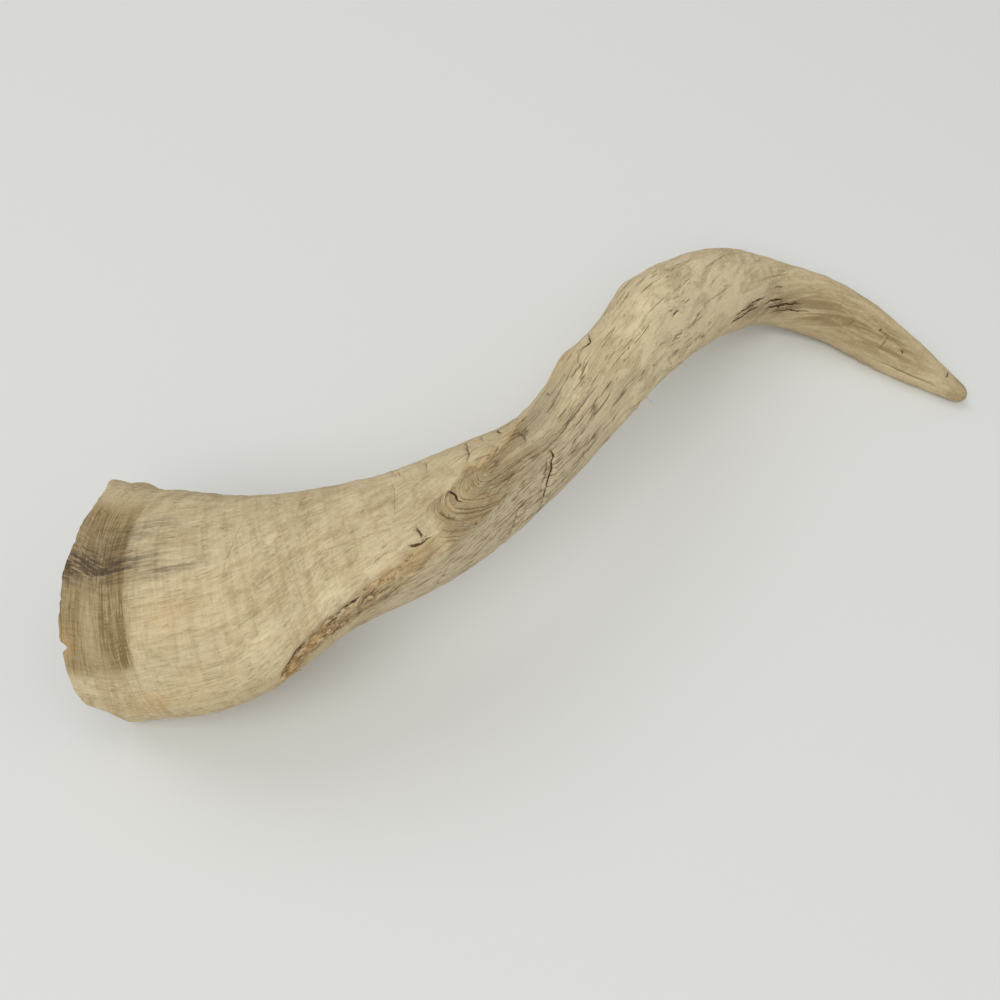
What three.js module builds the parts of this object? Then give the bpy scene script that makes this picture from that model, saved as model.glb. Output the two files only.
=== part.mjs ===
// A weathered goat horn: one hollow, twisting horn sheath with a blunt keel.
// Millimetres, +Z up. The horn lies on its side on the plane z = 0, with its
// length along X, the open base at -X and the tip at +X.

import * as THREE from 'three';

// Driving dimensions

// Length of horn between two neighbouring stations, measured along its middle line.
const STATION_SPACING = 25;

// One station for every 25 mm of horn, from the open base to the tip.
// depth is the width from the keel to the back edge, thickness the width across that.
// keelTurn is the direction that the keel faces, in degrees round the middle line from straight up.
// taper narrows the section towards its keel: 0 is an ellipse, 0.3 a blunt egg.
const STATIONS = [
  { centre: [-132, -2, 21], depth: 70, thickness: 36, keelTurn: 127, taper: 0.25 },
  { centre: [-119, -12, 25], depth: 61, thickness: 38, keelTurn: 125, taper: 0.25 },
  { centre: [-100, -24, 35], depth: 56, thickness: 38, keelTurn: 104, taper: 0.26 },
  { centre: [-75, -28, 41], depth: 44, thickness: 34, keelTurn: 72, taper: 0.31 },
  { centre: [-52, -30, 47], depth: 37, thickness: 31, keelTurn: 52, taper: 0.33 },
  { centre: [-30, -25, 50], depth: 29, thickness: 27, keelTurn: 35, taper: 0.33 },
  { centre: [-9, -16, 49], depth: 25, thickness: 22, keelTurn: 28, taper: 0.26 },
  { centre: [14, 0, 49], depth: 28, thickness: 24, keelTurn: 15, taper: 0.18 },
  { centre: [34, 15, 46], depth: 34, thickness: 25, keelTurn: -2, taper: 0.14 },
  { centre: [52, 27, 38], depth: 33, thickness: 25, keelTurn: -4, taper: 0.12 },
  { centre: [73, 37, 28], depth: 29, thickness: 23, keelTurn: -3, taper: 0.1 },
  { centre: [95, 41, 17], depth: 22, thickness: 19, keelTurn: -10, taper: 0.1 },
  { centre: [115, 30, 11], depth: 20, thickness: 16, keelTurn: -29, taper: 0.08 },
  { centre: [129, 9, 7], depth: 15, thickness: 12, keelTurn: -45, taper: 0.06 },
  { centre: [142, -13, 4], depth: 5, thickness: 5, keelTurn: -50, taper: 0 },
];

// The rim dips towards the keel and the back edge, as the growth rings do, and one corner is worn away.
const RIM_DIP = 13;
const WORN_CORNER_DEPTH = 6;
const WORN_CORNER_ANGLE = 155;
const WORN_CORNER_SPREAD = 35;
const DIP_FADES_AT = 150;

// The hollow that the bone core filled.
const RIM_WALL = 3;
const HOLLOW_LENGTH = 150;
const HOLLOW_BLUNTNESS = 2.4;

// The tip ends in a small dome.
const TIP_DOME_LENGTH = 3;

// The horn is rubbed flat by this much where it touches the surface that it lies on.
const CONTACT_WEAR = 1;

// Fineness of the mesh
const SEGMENTS_ROUND = 40;
const RINGS_OUTSIDE = 64;
const RINGS_IN_TIP_DOME = 4;
const RINGS_INSIDE = 26;

const KERATIN = { color: 0xc9b48c, roughness: 0.8, metalness: 0 };

// Smooth curve through the stations

const UP = new THREE.Vector3(0, 0, 1);
const LAST_STATION = STATIONS.length - 1;
const HORN_LENGTH = LAST_STATION * STATION_SPACING;

function throughStations(read) {
  const values = STATIONS.map(read);
  const before = 2 * values[0] - values[1];
  const after = 2 * values[LAST_STATION] - values[LAST_STATION - 1];
  const padded = [before, ...values, after];
  return (place) => {
    const step = Math.min(Math.max(Math.floor(place), 0), LAST_STATION - 1);
    const f = place - step;
    const [a, b, c, d] = padded.slice(step, step + 4);
    const bend = (2 * a - 5 * b + 4 * c - d) * f * f;
    const twist = (3 * b - a - 3 * c + d) * f * f * f;
    return 0.5 * (2 * b + (c - a) * f + bend + twist);
  };
}

const centreX = throughStations((station) => station.centre[0]);
const centreY = throughStations((station) => station.centre[1]);
const centreZ = throughStations((station) => station.centre[2]);
const depthAt = throughStations((station) => station.depth);
const thicknessAt = throughStations((station) => station.thickness);
const keelTurnAt = throughStations((station) => station.keelTurn);
const taperAt = throughStations((station) => station.taper);

function centreAt(place) {
  return new THREE.Vector3(centreX(place), centreY(place), centreZ(place));
}

// The direction along the horn, the direction of the keel and the direction across it.
function sectionAxes(place) {
  const nudge = 0.001;
  const ahead = centreAt(Math.min(place + nudge, LAST_STATION));
  const behind = centreAt(Math.max(place - nudge, 0));
  const along = ahead.sub(behind).normalize();
  const above = UP.clone().addScaledVector(along, -along.z).normalize();
  const turn = THREE.MathUtils.degToRad(keelTurnAt(place));
  const keel = above.applyAxisAngle(along, turn);
  const across = along.clone().cross(keel);
  return { keel, across };
}

// A point on the section at a place along the horn, with the wall taken off and the section scaled.
function sectionPoint(place, angle, wall, scale) {
  const { keel, across } = sectionAxes(place);
  const halfDepth = (depthAt(place) / 2 - wall) * scale;
  const halfThickness = (thicknessAt(place) / 2 - wall) * scale;
  const egg = 1 - taperAt(place) * Math.cos(angle);
  return centreAt(place)
    .addScaledVector(keel, halfDepth * Math.cos(angle))
    .addScaledVector(across, halfThickness * Math.sin(angle) * egg);
}

// How far the rim is set back at an angle round the section, in millimetres.
function rimSetBack(angle) {
  const fromWornCorner = THREE.MathUtils.euclideanModulo(
    THREE.MathUtils.radToDeg(angle) - WORN_CORNER_ANGLE + 180,
    360,
  ) - 180;
  const worn = WORN_CORNER_DEPTH * Math.exp(-((fromWornCorner / WORN_CORNER_SPREAD) ** 2));
  return RIM_DIP * Math.cos(angle) ** 2 + worn;
}

// Rings follow the rim near the base and are square to the horn further on.
function placeOnRing(distance, angle) {
  const fade = Math.max(1 - distance / DIP_FADES_AT, 0) ** 2;
  return Math.min((distance + rimSetBack(angle) * fade) / STATION_SPACING, LAST_STATION);
}

function ring(pointAtAngle) {
  return Array.from({ length: SEGMENTS_ROUND }, (_, segment) =>
    pointAtAngle((2 * Math.PI * segment) / SEGMENTS_ROUND),
  );
}

function outsideRings() {
  const domeStart = HORN_LENGTH - TIP_DOME_LENGTH;
  const shaft = Array.from({ length: RINGS_OUTSIDE }, (_, index) => {
    const distance = (domeStart * index) / (RINGS_OUTSIDE - 1);
    return ring((angle) => sectionPoint(placeOnRing(distance, angle), angle, 0, 1));
  });
  const dome = Array.from({ length: RINGS_IN_TIP_DOME }, (_, index) => {
    const lift = (0.5 * Math.PI * (index + 1)) / (RINGS_IN_TIP_DOME + 1);
    const place = (domeStart + TIP_DOME_LENGTH * Math.sin(lift)) / STATION_SPACING;
    return ring((angle) => sectionPoint(place, angle, 0, Math.cos(lift)));
  });
  return [...shaft, ...dome];
}

function insideRings() {
  return Array.from({ length: RINGS_INSIDE }, (_, index) => {
    const share = index / RINGS_INSIDE;
    const scale = 1 - share ** HOLLOW_BLUNTNESS;
    const distance = HOLLOW_LENGTH * share;
    return ring((angle) => sectionPoint(placeOnRing(distance, angle), angle, RIM_WALL, scale));
  });
}

function rubFlat(point) {
  return new THREE.Vector3(point.x, point.y, Math.max(point.z - CONTACT_WEAR, 0));
}

// Joins a chain of rings into one closed surface, with a pole at each end.
function closedSurface(rings, firstPole, lastPole) {
  const points = [...rings.flat(), firstPole, lastPole];
  const firstPoleIndex = points.length - 2;
  const lastPoleIndex = points.length - 1;
  const lastRingStart = (rings.length - 1) * SEGMENTS_ROUND;
  const faces = [];
  for (let segment = 0; segment < SEGMENTS_ROUND; segment += 1) {
    const next = (segment + 1) % SEGMENTS_ROUND;
    faces.push(firstPoleIndex, next, segment);
    faces.push(lastPoleIndex, lastRingStart + segment, lastRingStart + next);
    for (let row = 0; row < rings.length - 1; row += 1) {
      const here = row * SEGMENTS_ROUND;
      const beyond = here + SEGMENTS_ROUND;
      faces.push(here + segment, here + next, beyond + next);
      faces.push(here + segment, beyond + next, beyond + segment);
    }
  }
  const geometry = new THREE.BufferGeometry();
  const positions = points.flatMap((point) => point.toArray());
  geometry.setAttribute('position', new THREE.Float32BufferAttribute(positions, 3));
  geometry.setIndex(faces);
  geometry.computeVertexNormals();
  return geometry;
}

// From the closed end of the hollow out to the rim, over it and along the outside to the tip.
function hornSheath() {
  const rings = [...insideRings().reverse(), ...outsideRings()].map((points) => points.map(rubFlat));
  const hollowEnd = centreAt(HOLLOW_LENGTH / STATION_SPACING);
  const tip = centreAt(LAST_STATION);
  const geometry = closedSurface(rings, rubFlat(hollowEnd), rubFlat(tip));
  const mesh = new THREE.Mesh(geometry, new THREE.MeshStandardMaterial(KERATIN));
  mesh.name = 'horn_sheath';
  return mesh;
}

const goatHorn = new THREE.Group();
goatHorn.add(hornSheath());

export default goatHorn;
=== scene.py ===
import math

import bmesh
import bpy
import numpy as np
from bpy.props import FloatProperty, FloatVectorProperty, PointerProperty
from bpy.types import Operator, Panel, PropertyGroup
from mathutils import Matrix, Vector


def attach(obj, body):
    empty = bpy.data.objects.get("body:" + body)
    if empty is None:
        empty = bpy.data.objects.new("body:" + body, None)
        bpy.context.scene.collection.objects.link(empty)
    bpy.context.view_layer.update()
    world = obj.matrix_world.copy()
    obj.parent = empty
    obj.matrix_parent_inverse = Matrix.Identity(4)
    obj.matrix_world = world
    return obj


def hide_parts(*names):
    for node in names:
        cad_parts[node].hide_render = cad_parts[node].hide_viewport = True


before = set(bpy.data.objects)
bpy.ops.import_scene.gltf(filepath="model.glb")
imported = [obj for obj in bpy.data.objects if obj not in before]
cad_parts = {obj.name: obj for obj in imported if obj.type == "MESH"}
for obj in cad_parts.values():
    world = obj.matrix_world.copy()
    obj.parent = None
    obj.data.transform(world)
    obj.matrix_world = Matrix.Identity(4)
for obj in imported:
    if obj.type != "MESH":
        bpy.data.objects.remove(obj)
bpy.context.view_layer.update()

bl_info = {
    "name": "Weathered Goat Horn",
    "version": (1, 0, 0),
    "blender": (4, 5, 0),
    "location": "3D View > Sidebar > Goat Horn",
    "description": "Models a weathered goat horn sheath and a plain stage for it",
    "category": "Add Mesh",
}

# The body that the new pieces hang under, and the part of the construction model that is hidden for
# them.
BODY = "root"
NODE = "horn_sheath"

# Form of the horn. Lengths on the horn are millimetres and angles are degrees.
MM = 0.001
STATION_SPACING = 25.0
# One station for every 25 mm of horn, from the open base to the tip: the centre, the width from
# keel to back edge, the width across that, the turn of the keel from straight up, and how much
# the section narrows towards the keel.
STATIONS = np.array(
    (
        (-132, -2, 21, 70, 36, 127, 0.25),
        (-119, -12, 25, 61, 38, 125, 0.25),
        (-100, -24, 35, 56, 38, 104, 0.26),
        (-75, -28, 41, 44, 34, 72, 0.31),
        (-52, -30, 47, 37, 31, 52, 0.33),
        (-30, -25, 50, 29, 27, 35, 0.33),
        (-9, -16, 49, 25, 22, 28, 0.26),
        (14, 0, 49, 28, 24, 15, 0.18),
        (34, 15, 46, 34, 25, -2, 0.14),
        (52, 27, 38, 33, 25, -4, 0.12),
        (73, 37, 28, 29, 23, -3, 0.1),
        (95, 41, 17, 22, 19, -10, 0.1),
        (115, 30, 11, 20, 16, -29, 0.08),
        (129, 9, 7, 15, 12, -45, 0.06),
        (142, -13, 4, 5, 5, -50, 0),
    )
)
LAST_STATION = len(STATIONS) - 1
HORN_LENGTH = LAST_STATION * STATION_SPACING
DEPTH, THICKNESS, KEEL_TURN, TAPER = 3, 4, 5, 6

RIM_DIP = 13.0
WORN_CORNER = (6.0, 155.0, 35.0)  # depth, angle and spread
DIP_FADES_AT = 150.0
RIM_WALL = 3.0
HOLLOW_LENGTH = 150.0
HOLLOW_BLUNTNESS = 2.4
CONTACT_WEAR = 1.0

# The sheath is modelled as a straight tube, which is then laid along the horn.
TUBE_RADIUS = 20.0
TUBE_BORE = 12.0
SIDES = 24
LEVELS = 3
RIM_RINGS = (0.8, 2.0, 4.5, 8.0)
BASE_RINGS = tuple(np.linspace(8, 50, 6)[1:])
CRUST_RINGS = tuple(np.linspace(50, 155, 26)[1:])
SHAFT_RINGS = tuple(np.linspace(155, 344, 19)[1:])
TIP_RINGS = ((347.0, 1.0), (348.6, 0.86), (349.6, 0.55))
HOLLOW_RINGS = (3.0, 14.0, 34.0, 62.0, 92.0, 122.0, 142.0)
DOME_START = 346.0

# How far the rim is broken back at each angle, in millimetres. Less than 0 stands further out.
RIM_EDGE = (
    (-180, -11.0), (-174, -13.5), (-168, -13.5), (-162, -10.5), (-156, -7.6), (-150, -5.0),
    (-144, -2.6), (-138, -0.2),
    (-132, 0.5), (-124, 1.0),
    (-116, 2.2), (-104, 1.9), (-94, 1.8), (-81, 0.9), (-74, -0.3), (-70.6, -0.4), (-69.4, 3.3),
    (-67.6, 3.2), (-66.2, -0.6), (-56, -1.2), (-45, -1.2), (-38, -0.6), (-33, 1.0), (-30.5, 5.4),
    (-26, 8.4), (-13, 9.5), (0, 8.0), (12, 5.5), (30, 3.0), (60, 1.5), (73, 3.6), (80, 1.0),
    (110, 0.5), (140, -1.0), (160, -6.0), (180, -11.0),
)
CHIP_REACH = 9.0

# Lines drawn on the skin: points are (distance from the rim in mm, angle from the keel in degrees).
CRUST_EDGE = (
    (50, 14), (54, 5), (57, -7), (60, -13), (63.5, -13), (67, -14), (71, -11), (74.5, -7), (79, -9),
    (83, -11), (87, -10), (91, -9), (94, -12), (97, -18), (101, -22), (104, -24),
)
CRUST_FOOT = (
    (50, 16), (58, 1), (64, 0), (67, 3), (70, 8), (75, 15), (80, 14), (84, 15), (88, 18),
    (91, 16), (94, 10), (98, 2), (104, -8),
)
RIDGE = ((92, 12), (100, 9), (110, 7), (118, 6), (126, 4), (136, 0), (146, -5), (156, -10))
ZIGZAG = (
    (112, -48), (117, -52), (120, -57), (122, -46), (125, -46), (129, -49), (136, -56),
    (141, -66), (148, -78), (153, -86), (160, -88),
)
KNOT_CENTRE = (124.0, -33.0)

# Cracks and checks: half width, depth and the points of the line.
CRACKS = (
    (0.18, 0.2, ((27, -132), (32, -111), (32.5, -94), (32, -78), (31, -66))),
    (0.12, 0.15, ((11, -57), (16, -64), (19, -74), (20, -90))),
    (0.14, 0.12, ((57, -78), (55, -84), (56, -92), (58, -99), (59.5, -106), (61, -117))),
    (0.16, 0.15, ((65, -70), (77, -62), (90, -54), (99, -46), (107, -40))),
    (0.22, 0.2, ((87, -29), (89, -32), (93, -33))),
    (0.5, 0.9, ((54, 4), (57, -7), (60, -13), (63, -13))),
    (0.32, 0.7, ((63, -13), (67, -12), (71, -8), (76, -4))),
    (0.5, 0.8, ((70, -9), (73, -6), (78, -6), (82, -9))),
    (0.35, 0.7, ((79, 4), (83, -2), (87, -8))),
    (0.3, 0.6, ((81, -7), (85, 0), (90, 4))),
    (0.34, 0.6, ((60, -6), (64, -1), (69, 3), (75, 6))),
    (0.28, 0.5, ((66, 3), (71, 9), (77, 11))),
    (0.3, 0.5, ((84, 10), (88, 12), (92, 10))),
    (0.45, 0.8, ((96, -28), (98, -22), (101.5, -20))),
    (0.4, 0.8, ((99, -24), (99.5, -32), (100, -39))),
    (0.3, 0.6, ((108.5, -11), (106.8, -30), (106.2, -42))),
    (0.18, 0.3, ((109, -14), (107.8, -28), (107.6, -40))),
    (0.55, 0.9, ((112.5, -28), (111.8, -39), (111.2, -49))),
    (0.24, 0.4, ((113, -24), (119, -14), (127, -5), (136, -3))),
    (0.26, 0.4, ((116, -30), (120, -23), (127, -18), (134, -16), (141, -16))),
    (0.28, 0.4, ((136, -3), (142, -6), (152, -8), (162, -5), (169, 0))),
    (0.58, 0.8, ((135, 80), (136, 64), (137, 48), (139.5, 29), (141, 10), (140.5, -3))),
    (0.3, 0.5, ((133, 50), (136, 34), (138, 18), (139, 8))),
    (0.3, 0.4, ((122, 84), (123.5, 70), (125, 50), (127, 42))),
    (0.2, 0.3, ((127, 76), (128, 62), (129, 42))),
    (0.26, 0.3, ((97.5, 68), (100, 48), (103, 30))),
    (0.24, 0.3, ((152.5, 74), (151.5, 50))),
    (0.3, 0.4, ((127, 15), (130, 13))),
    (0.35, 0.3, ((111, 8), (112, 5))),
    (0.26, 0.5, ((137, -34), (139, -46), (140, -58), (141, -68))),
    (0.3, 0.5, ((128, -49), (130, -53), (131.5, -58))),
    (0.3, 0.5, ((120.5, -58), (124, -70), (126, -84), (128, -100))),
    (0.38, 0.6, ((136.5, -71), (138, -85), (141, -100))),
    (0.22, 0.4, ((111, -76), (113, -90), (114.5, -102))),
    (0.26, 0.4, ((130.5, -74), (132, -88), (134, -101))),
    (0.16, 0.3, ((97, -55), (98, -66), (100.5, -82), (101, -96))),
    (0.22, 0.3, ((104, -90), (105, -106))),
    (0.18, 0.2, ((73, -92), (74.5, -106), (76, -116))),
    (0.34, 0.5, ((141, -68), (146, -76), (151, -84), (158, -88))),
    (0.2, 0.3, ((147, -33), (151, -35), (156, -34))),
    (0.26, 0.3, ((159, -35), (163, -32), (169, -28))),
    (0.18, 0.2, ((150, -25), (158, -21), (165, -18), (171, -12))),
    (0.3, 0.5, ((158, -62), (158.5, -70), (159.5, -80))),
    (0.42, 0.7, ((172, -60), (174.5, -55), (176, -51), (177.5, -56), (180, -64))),
    (0.24, 0.4, ((167, -40), (169, -52), (172, -58), (174, -68))),
    (0.22, 0.3, ((175, 2), (179, 6), (183, 16))),
    (0.2, 0.25, ((178, 8), (184, 17), (190, 26))),
    (0.4, 0.5, ((197, 52), (199.5, 49), (202, 51))),
    (0.24, 0.3, ((199.5, 49), (198, 44), (196.5, 38))),
    (0.18, 0.2, ((194, 28), (203, 32), (213, 30), (221, 25))),
    (0.24, 0.3, ((198, 102), (203, 101))),
    (0.34, 0.4, ((205, 101), (211, 97))),
    (0.22, 0.3, ((197, 104), (194, 94), (191, 78))),
    (0.2, 0.2, ((204, 76), (213, 72), (220, 67))),
    (0.24, 0.25, ((217, 64), (228, 61), (241, 53))),
    (0.24, 0.25, ((225, 25), (232, 20), (240, 11), (249, 3))),
    (0.18, 0.2, ((203, 4), (209, 1), (215, -3))),
    (0.22, 0.25, ((255, 55), (262, 48), (270, 38), (279, 20))),
    (0.26, 0.25, ((255, 25), (259, 19), (263, 11))),
    (0.55, 0.5, ((242, 105), (250, 98), (260, 88))),
    (0.46, 0.4, ((244, 94), (251, 88), (258, 82))),
    (0.4, 0.3, ((250, 84), (256, 79), (263, 74))),
    (0.54, 0.45, ((265, 94), (272, 88), (280, 82), (287, 75))),
    (0.5, 0.3, ((262, 85), (270, 78), (278, 72))),
    (0.4, 0.3, ((272, 98), (282, 92), (292, 88))),
    (0.3, 0.3, ((266, 62), (271, 56), (276, 51))),
    (0.28, 0.35, ((320, 130), (331, 127), (343, 120))),
    (0.22, 0.25, ((308, 66), (308, 78), (307, 92))),
    (0.35, 0.3, ((317, 58), (317, 68))),
    (0.4, 0.3, ((325, 74), (326.5, 88))),
    (0.28, 0.3, ((319.5, 60), (320, 80), (319.5, 100))),
    (0.34, 0.4, ((341, 20), (341.5, 44), (341, 66))),
)
# Splinters that stand out of the skin: distance, angle, heading, tilt, size and stand-off.
SPLINTERS = (
    (183, 112, 90, 72, 0.45, -0.1), (205, 116, 80, 70, 0.5, -0.1), (222, 100, 172, 5, 1.0, 0.0),
    (225, 86, 185, 4, 0.8, 0.0), (99, -34, 60, 12, 0.6, -0.1), (140, -62, 200, 10, 0.7, -0.1),
    (149, -80, 160, 14, 0.6, -0.1),
)
CHIPS = 60
STRANDS = 170
SCATTER_SEED = 5
HIDDEN_CRACKS = 46
CRACK_SEED = 11
CRACK_REACH = 3.0

# Soft oval patches: strength, distance and angle of the middle, and half length and half width.
CHARCOAL_PATCHES = (
    (1.4, 2, -106, 16, 8), (0.8, 26, -105, 12, 5), (0.6, 45, -97, 9, 3), (0.45, 30, -112, 26, 14),
    (0.2, 16, -124, 16, 14), (0.4, 36, -126, 10, 5), (0.5, 4, 104, 22, 9),
)
OCHRE_PATCHES = (
    (0.45, 28, -28, 14, 9), (0.5, 3, -70, 4, 8), (0.35, 43, -76, 6, 9), (0.5, 93, -10, 8, 8),
    (0.35, 168, -80, 8, 14), (0.25, 310, 70, 20, 50),
)
BLEACHED_AND_PAINTED_LIGHT_PATCHES = (
    (0.7, 55, -41, 4, 5), (0.7, 64, -90, 4, 3), (0.5, 80, -29, 16, 9), (0.3, 4, -48, 8, 9),
    # The three large patches at 185, 200 and 244 mm are painted light: they brighten the lower flank of
    # the shaft.
    (0.9, 200, 50, 34, 80), (0.9, 244, 58, 26, 48), (0.4, 185, 65, 34, 45), (0.5, 118, -46, 6, 12),
    (0.4, 130, -8, 9, 8), (0.4, 136, -3, 6, 4), (0.25, 97, -90, 16, 20),
)
UMBER_PATCHES = (
    (0.8, 284, 78, 20, 28), (0.9, 304, 80, 20, 46), (0.9, 321, 80, 14, 40), (0.65, 262, 95, 18, 14),
    (0.5, 300, 190, 26, 50),
)
WORN_OLIVE = (0.45, 15, -72, 5, 18)
# Lips and hollows of the skin in the twist, as patches with their height in mm for strength.
TWIST_LUMPS = (
    (1.0, 173, -88, 5, 16), (1.1, 204, -58, 5, 14), (0.6, 178, -62, 4, 10), (-0.9, 189, -74, 7, 16),
    (-0.8, 157, -92, 9, 16),
)

# Stretches of the horn, in mm from the rim: where each starts, is full, fades and has gone.
CRUST_STRETCH = (49, 55, 98, 104)
CRUST_STEP_STRETCH = (53, 57, 95, 99)
RIDGE_STRETCH = (92, 102, 146, 158)
KNOT_STRETCH = (101, 106, 150, 172)
TORN_LINE_STRETCH = (116, 121, 142, 152)
# Painted shade: the stretch where the face below the keel ridge is painted greyer.
PAINTED_SHADE_STRETCH = (78, 92, 140, 178)
CHECKED_STRETCH = (84, 140, 195, 250)
HAIRY_STRETCH = (70, 84, 140, 172)
# The same round the horn, in degrees from the keel.
OLIVE_FRONT = (-150, -134, -60, -50)
OLIVE_BACK = (35, 95, 110, 170)
# The brown band round the base fades within one millimetre of its end.
OLIVE_END = 33.4
# Growth rings dip this far towards the keel, and less with distance.
RING_DIP = 11.0
RING_DIP_FADES = 80.0
# How many degrees the fibres have turned round the horn at each distance.
FIBRE_TURN = (
    (0, 0), (60, 10), (170, 12), (185, 28), (205, 50), (220, 46), (240, 28), (260, -4), (280, -42),
    (300, -62), (350, -90),
)

# What the weather did to each point of the skin, and the light and shade painted on it, written on the
# mesh and read by the finish.
SKIN_VALUES = (
    "swirl", "knot", "dark_crust", "olive", "charcoal", "ochre", "bleach", "grey", "umber",
    "checked", "hairy", "ringed", "crack_offset", "crack_width",
)
# Noise in dry keratin: its field, cycles per mm across and along it, detail, roughness and warp.
PATTERNS = {
    "clouds": ("growth", 0.07, 0.05, 3, 0.55, 0.0),
    "patches": ("fibres", 0.22, 0.09, 4, 0.6, 0.6),
    "mottles": ("growth", 0.4, 0.3, 4, 0.65, 0.0),
    "specks": ("growth", 1.8, 1.4, 2, 0.55, 0.0),
    "grit": ("growth", 1.0, 0.8, 4, 0.75, 0.0),
    "rings": ("growth", 0.035, 0.4, 5, 0.65, 0.5),
    "fine_rings": ("growth", 0.14, 1.3, 3, 0.6, 0.6),
    "strokes": ("fibres", 1.5, 0.11, 4, 0.75, 0.2),
    "streaks": ("fibres", 0.55, 0.05, 4, 0.65, 0.4),
    "hair": ("fibres", 1.6, 0.075, 3, 0.75, 0.15),
    "crust_lines": ("growth", 0.7, 0.26, 5, 0.7, 1.0),
}

# Stage, in metres.
FLOOR_SIZE = 12.0
LIGHT_SIZE = 1.5
FRONT_LIGHT_PLACE = Vector((-1.0, -1.1, 2.0))
BACK_LIGHT_PLACE = Vector((-0.4, 1.1, 1.9))
CAMERA_TARGET = Vector((-0.0205, -0.0126, 0.0242))
NEAREST_SEEN = 0.01

# Torn pieces, in mm: half sizes of a chip and where and how slantwise its ends are cut, then the
# radius of a strand, the length of its steps and how far it rises and drifts in each.
CHIP_HALF_SIZES = (4.2, 0.75, 0.2)
CHIP_CUTS = ((2.4, 0.7), (-2.6, -0.5))
STRAND_RADIUS = 0.16
STRAND_STEP = 1.1
STRAND_BENDS = ((0.0, 0.06), (0.08, 0.1), (0.16, -0.06), (0.2, -0.16), (0.34, 0.05))


class Sheath(PropertyGroup):
    """Relief and cracks of the horn sheath."""

    ring_relief: FloatProperty(
        name="Ring relief", description="Height of the growth rings in millimetres",
        default=0.16, min=0.0, max=1.0,
    )
    crust_relief: FloatProperty(
        name="Crust relief", description="Height of the torn crust along the keel in millimetres",
        default=1.1, min=0.0, max=3.0,
    )
    crack_width: FloatProperty(
        name="Crack width", description="Width of the cracks against their listed widths",
        default=0.6, min=0.0, max=2.0, subtype="FACTOR",
    )
    crack_depth: FloatProperty(
        name="Crack depth", description="Depth of the cracks against their listed depths",
        default=1.0, min=0.0, max=2.0, subtype="FACTOR",
    )


def tint(name, description, red, green, blue):
    """A colour property, given in the usual 0 to 255 steps and kept as linear light."""
    steps = np.array((red, green, blue)) / 255
    light = np.where(steps < 0.04045, steps / 12.92, ((steps + 0.055) / 1.055) ** 2.4)
    return FloatVectorProperty(
        name=name, description=description, subtype="COLOR", default=tuple(light)
    )


class Tints(PropertyGroup):
    """Colours of dry keratin and of its stains, and of the light and shade painted on it."""

    straw: tint("Straw", "Main colour of the bleached horn", 206, 189, 151)
    brown: tint("Brown", "Fine fibres, checks and thin cracks", 128, 98, 60)
    shaded_straw: tint("Shaded straw", "Darker streaks of the bleached horn", 182, 160, 121)
    # Also used for painted light: the brighter lower flank of the shaft and the highlights on the
    # knot's swirls.
    bleached: tint("Bleached", "Palest, chalky patches", 237, 220, 179)
    # Painted shade: the greyer tone of the face below the keel ridge, which is turned away from the
    # light.
    grey: tint("Grey", "Weathered grey of the lower flank", 212, 196, 163)
    olive: tint("Olive", "Brown band round the base", 136, 113, 74)
    charcoal: tint("Charcoal", "Darkest streaks at the rim", 72, 62, 50)
    ochre: tint("Ochre", "Torn fibres of the keel crust", 206, 166, 108)
    umber: tint("Umber", "Brown blotches near the tip", 124, 102, 68)
    # Painted shade: the dark bottom of the wider cracks, the deeper checks and the crust slits.
    crack: tint("Crack", "Bottom of the cracks", 78, 55, 34)


class Stage(PropertyGroup):
    """Floor, light and camera."""

    floor: FloatVectorProperty(
        name="Floor", description="Colour of the floor", subtype="COLOR",
        default=(0.775, 0.78, 0.755),
    )
    front_power: FloatProperty(
        name="Front light", description="Power of the soft light near the camera", default=29.0,
        min=0.0, subtype="POWER", unit="POWER",
    )
    back_power: FloatProperty(
        name="Back light", description="Power of the soft light behind the horn", default=7.5,
        min=0.0, subtype="POWER", unit="POWER",
    )
    sky_strength: FloatProperty(
        name="Sky", description="Strength of the even light from all round", default=0.45, min=0.0,
    )
    azimuth: FloatProperty(
        name="Azimuth", description="Camera's turn round the horn", subtype="ANGLE",
        default=math.radians(-24.9),
    )
    elevation: FloatProperty(
        name="Elevation", description="Camera's height above the horizon", subtype="ANGLE",
        default=math.radians(53.8),
    )
    roll: FloatProperty(
        name="Roll", description="Camera's turn on its own axis", subtype="ANGLE",
        default=math.radians(3.7),
    )
    camera_distance: FloatProperty(
        name="Camera distance", description="From the camera to the point it looks at",
        default=0.385, min=0.01, subtype="DISTANCE", unit="LENGTH",
    )
    lens_angle: FloatProperty(
        name="Lens angle", description="Angle that the picture takes in", subtype="ANGLE",
        default=math.radians(40),
    )


# Repeatable noise on a lattice


def lattice_value(corner):
    """A repeatable value from 0 to 1 for each whole-numbered corner."""
    mixed = corner[..., 0] * 73856093 ^ corner[..., 1] * 19349663 ^ corner[..., 2] * 83492791
    mixed = (mixed ^ (mixed >> 13)) * 1274126177 & 0x7FFFFFFF
    return (mixed >> 8 & 0xFFFF) / 0xFFFF


def noise(points, octaves=1):
    """Smooth noise from about -1 to 1, each octave twice as fine and half as high."""
    total = 0.0
    for octave in range(octaves):
        moved = points * 2.0**octave + 31.7 * octave
        base = np.floor(moved)
        part = moved - base
        part = part * part * (3 - 2 * part)
        base = base.astype(np.int64)
        value = 0.0
        for corner in np.ndindex(2, 2, 2):
            share = np.where(corner, part, 1 - part).prod(-1)
            value = value + share * lattice_value(base + np.array(corner))
        total = total + (2 * value - 1) / 2**octave
    return total


def smooth_step(low, high, value):
    share = np.clip((value - low) / (high - low), 0, 1)
    return share * share * (3 - 2 * share)


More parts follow.
